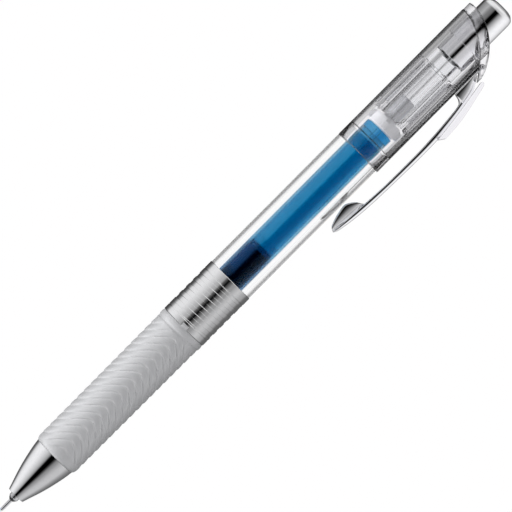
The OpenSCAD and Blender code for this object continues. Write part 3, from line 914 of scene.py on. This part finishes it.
# the lobe reaches 0.25 mm into the blade
lobe_in = flowing([(8.0, 90.3), (7.45, 90.62), (7.0, 91.2), (6.42, 92.8), (6.1, 94.1), (5.87, 95.3),
                   (5.87, 96.1), (6.48, 97.2), (7.2, 98.05), (7.95, 98.5), (8.5, 98.9)])
lobe_heights = np.linspace(90.32, 98.85, 36)
lobe_section = [(0.06, 0.9), (0.0, 1.35), (0.03, 1.5), (0.08, 1.58), (0.2, 1.56), (0.35, 1.52), (0.5, 1.44),
                (0.65, 1.32), (0.8, 1.15), (0.92, 1.0), (1.0, 0.9)]
strap("clip_lobe", along_line(lobe_in, lobe_heights), moved(along_line(blade_in, lobe_heights), 0.25),
      lobe_section)

root_line = [(8.1, 127.6), (7.75, 128.0), (7.2, 128.35), (6.6, 128.52), (6.05, 128.58), (5.98, 128.7),
             (5.98, 134.9)]
root_heights = np.concatenate([np.linspace(127.65, 128.75, 12), np.linspace(129.1, 134.6, 18)])
root_section = [(0.02, 1.4), (0.0, 1.72), (0.02, 1.84), (0.06, 1.89), (0.15, 1.88), (0.3, 1.85), (0.5, 1.78),
                (0.7, 1.69), (0.88, 1.56), (1.0, 1.4)]
strap("clip_root", along_line(root_line, root_heights), blade_middle(root_heights), root_section)

# the heel carries the blade on to the root, and reaches 0.1 mm into it
heel_heights = np.linspace(128.2, 134.6, 20)
heel_section = [(0.0, 1.2), (0.04, 1.46), (0.3, 1.42), (0.6, 1.3), (0.85, 1.12), (1.0, 0.9)]
strap("clip_heel", moved(blade_middle(heel_heights), -0.1), along_line(blade_out, heel_heights), heel_section)

# the round bar that the clip turns on, and the stem that joins it to the root
bar_turn = angles(32)
bar_ends = [(-1.15, 0.1), (-1.12, 0.28), (-1.03, 0.45), (-0.9, 0.55), (-0.7, 0.6)]
bar_profile = bar_ends + [(-y, r) for y, r in reversed(bar_ends)]
bar_rings = [[(5.9 + r * math.cos(t), y, 136.7 + r * math.sin(t)) for t in bar_turn] for y, r in bar_profile]
skin("clip_hinge", bar_rings, "clip", chrome, closed=False, slot="chrome", crease=60)
strap("clip_stem", [(5.95, 134.3), (5.95, 136.7)], [(6.25, 134.3), (6.25, 136.7)],
      [(0.0, 1.0), (0.1, 1.13), (0.5, 1.08), (0.9, 0.95), (1.0, 0.8)])


def cover():
    """The clear cover on the outside of the clip: a side outline with a width across, and rounded edges."""
    width, bevel, segments, crease = 4.6, 0.25, 3, 40
    outline = flowing([(10.16, 119.25), (9.93, 121.05), (9.42, 125.2), (8.79, 129.4), (8.16, 133.2)], 4)
    outline += [(8.0, 134.3), (8.5, 134.6), (9.0, 134.0)]
    outline += flowing([(9.22, 133.0), (9.68, 131.0), (10.2, 128.7), (10.56, 126.9), (10.82, 125.2),
                        (11.0, 123.2), (11.09, 121.5), (11.08, 120.6)], 4)
    count = len(outline)
    verts = [(x, -width / 2, z) for x, z in outline] + [(x, width / 2, z) for x, z in outline]
    faces = [tuple(range(count)), tuple(reversed(range(count, 2 * count)))]
    faces += [(i, (i + 1) % count, (i + 1) % count + count, i + count) for i in range(count)]
    obj = make("cover", verts, faces, None, cover_clear, ["clip_cover"], crease, "clear_plastic")
    mod = obj.modifiers.new("round", "BEVEL")
    mod.width = bevel * MM
    mod.segments = segments
    mod.limit_method = "ANGLE"
    mod.angle_limit = math.radians(crease)
    mod.use_clamp_overlap = True
    # what the modifier makes becomes the piece's own mesh
    made = bpy.data.meshes.new_from_object(obj.evaluated_get(bpy.context.evaluated_depsgraph_get()))
    obj.modifiers.clear()
    obj.data = made
    shade(obj, crease)
    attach(obj, "clip")


cover()

# ---- button and click mechanism ----

button_outline = [(133.2, 3.25), (133.2, 3.74), (146.75, 3.74, 1.4), (147.6, 3.55, 0.8), (148.3, 2.7, 0.8),
                  (148.5, 2.0, 0.6), (148.5, 1e-5, 0), (147.5, 1e-5, 0), (147.5, 2.4, 0.5),
                  (146.7, 3.25, 0.5)]
turned("button", rounded(button_outline, 0.1, 6),
       "button", button_chrome, 160, nodes=["button_cap"], slot="chrome")


def splined(name, profile, fins, span, body, material, node, slot):
    """A turned core whose outside carries fins between two heights."""
    fin_r, fin_half, slope = 4.15, 0.65, 0.06
    a = angles(256)
    pitch = 2 * math.pi / fins
    across = (((a + pitch / 2) % pitch) - pitch / 2) * fin_r
    fin = np.clip((fin_half - abs(across)) / slope, 0, 1)
    rings = []
    for z, r in profile:
        finned = span[0] <= z <= span[1]
        rings.append(circle(r + (fin_r - r) * fin if finned else r, z, a))
    skin(name, rings, body, material, nodes=[node], crease=38, slot=slot)


# the fins begin and end between two points a few hundredths of a millimetre apart
knock = [(115.45, 1.97), (115.45, 3.1), (115.55, 3.15), (117.45, 3.15), (117.5, 3.15), (117.5, 3.2)]
knock += [(z, 3.15) for z in np.linspace(117.6, 128.7, 12)]
knock += [(128.8, 3.15), (128.85, 3.15), (129.55, 3.15), (129.6, 3.6), (129.7, 3.68), (133.1, 3.68),
          (133.17, 3.6), (133.17, 3.22), (144.4, 3.22), (144.5, 3.1), (144.5, 2.0), (142.0, 1.9),
          (141.9, 1.95)]
splined("knock", knock, 8, (117.5, 128.8), "button", cam_clear, "knock_cam", "clear_plastic")

rotor = [(112.4, 1e-4), (112.4, 3.0), (112.5, 3.2), (112.75, 3.25), (112.76, 3.25), (112.8, 3.25),
         (113.2, 3.25), (113.6, 3.25), (114.0, 3.25), (114.4, 3.25), (114.95, 3.25), (115.1, 3.2),
         (115.1, 1.75), (120.6, 1.75), (120.9, 1.6), (121.0, 1.2), (121.0, 1e-4)]
splined("rotor", rotor, 4, (112.76, 114.5), "rotor", rotor_look, "rotor_cam", "rotor_plastic")

# ---- floor, light and camera ----


def place(name, data):
    obj = bpy.data.objects.new(name, data)
    bpy.context.scene.collection.objects.link(obj)
    return obj


def floor():
    """A pale floor that the camera sees as plain white, straight on or through the clear parts."""
    half = 3.0
    mesh = bpy.data.meshes.new("floor")
    mesh.from_pydata([(-half, -half, 0), (half, -half, 0), (half, half, 0), (-half, half, 0)], [],
                     [(0, 1, 2, 3)])
    material = bpy.data.materials.new("floor_paint")
    material.use_nodes = True
    n = Nodes(material.node_tree)
    n.tree.nodes.clear()
    path = n.node("LightPath").outputs
    seen = n.maths("MAXIMUM", path["Is Camera Ray"], path["Is Transmission Ray"])
    matt = n.node("BsdfDiffuse", {0: (0.82, 0.82, 0.82, 1)}).outputs[0]
    mix = n.node("MixShader", {0: seen, 1: matt, 2: n.node("Emission").outputs[0]})
    n.join(mix.outputs[0], n.node("OutputMaterial").inputs[0])
    mesh.materials.append(material)
    obj = place("floor", mesh)
    obj.visible_glossy = False


floor()

# degrees from straight up, towards the viewer's side, and how bright the studio is there
STUDIO = [(-180, 0.25), (-158, 0.10), (-138, 0.08), (-122, 0.13), (-112, 0.26), (-104, 0.52), (-95, 0.74),
          (-84, 0.86), (-68, 0.93), (-50, 0.90), (-36, 0.77), (-20, 0.60), (-8, 0.42), (-1, 0.26),
          (4, 0.03), (8, 0.0), (26, 0.0), (32, 0.04), (37, 0.13), (42, 0.26), (54, 0.46), (66, 0.68),
          (80, 0.90), (94, 1.0), (110, 1.0), (126, 0.92), (142, 0.75), (160, 0.50), (180, 0.25)]


def studio():
    """Two long soft boxes low on either side, dark overhead, as the pen's reflections show."""
    around = bpy.data.worlds.new("studio")
    bpy.context.scene.world = around
    around.use_nodes = True
    n = Nodes(around.node_tree)
    n.tree.nodes.clear()
    split = n.node("SeparateXYZ", {0: n.node("TexCoord").outputs["Generated"]}).outputs
    turn = n.maths("ARCTAN2", n.both(split["Y"], -1), split["Z"])
    bluish = 1.01
    stops = [((angle + 180) / 360, (value, value, value * bluish)) for angle, value in STUDIO]
    look = n.ramp(n.span(turn, 0, 1, -math.pi, math.pi), stops)
    # a soft light beyond the button, above the table, and plain white behind everything
    beyond = n.span(split["X"], 0, n.span(split["Z"], 0, 1, -0.6, -0.4), 0.30, 0.62)
    look = n.blend(beyond, look, (0.85, 0.85, 0.85))
    look = n.blend(n.node("LightPath").outputs["Is Camera Ray"], look, WHITE)
    back = n.node("Background", {"Color": look})
    n.join(back.outputs[0], n.node("OutputWorld").inputs[0])

    for name, spot, energy in (("key", (-0.75, 1.0, 0.47), 30.0), ("fill", (-0.2, -1.2, 0.45), 4.5)):
        lamp = bpy.data.lights.new(name, "AREA")
        lamp.shape = "RECTANGLE"
        lamp.size = 0.8
        lamp.size_y = 1.2
        lamp.energy = energy
        obj = place(name, lamp)
        obj.location = spot
        obj.rotation_euler = (-Vector(spot)).to_track_quat("-Z", "Y").to_euler()
        obj.visible_glossy = False
        obj.visible_camera = False
        obj.visible_transmission = False


studio()


def camera():
    """Square on to the plane of the pen's axis and its clip, with the pen rising to the right."""
    seen_width = 0.10704
    slant = math.radians(45.13)
    data = bpy.data.cameras.new("camera")
    data.sensor_width = 36
    data.lens = 300
    data.clip_start = 0.05
    data.clip_end = 20
    right = math.cos(slant) * along + math.sin(slant) * clipward
    up = math.sin(slant) * along - math.cos(slant) * clipward
    aim = Vector(world([[0.3, 0, 75.33]])[0])
    stand = aim + to_viewer * (seen_width * data.lens / data.sensor_width)
    turn = Matrix((right, up, to_viewer)).transposed().to_4x4()
    obj = place("camera", data)
    obj.matrix_world = Matrix.Translation(stand) @ turn
    bpy.context.scene.camera = obj


camera()

scene = bpy.context.scene
scene.view_settings.view_transform = "Standard"
scene.cycles.max_bounces = 32
scene.cycles.transmission_bounces = 32
scene.cycles.glossy_bounces = 12
scene.cycles.transparent_max_bounces = 32
scene.cycles.sample_clamp_indirect = 3.0
# the normals as a guide would keep grain in the clear parts
scene.cycles.denoising_input_passes = "RGB_ALBEDO"
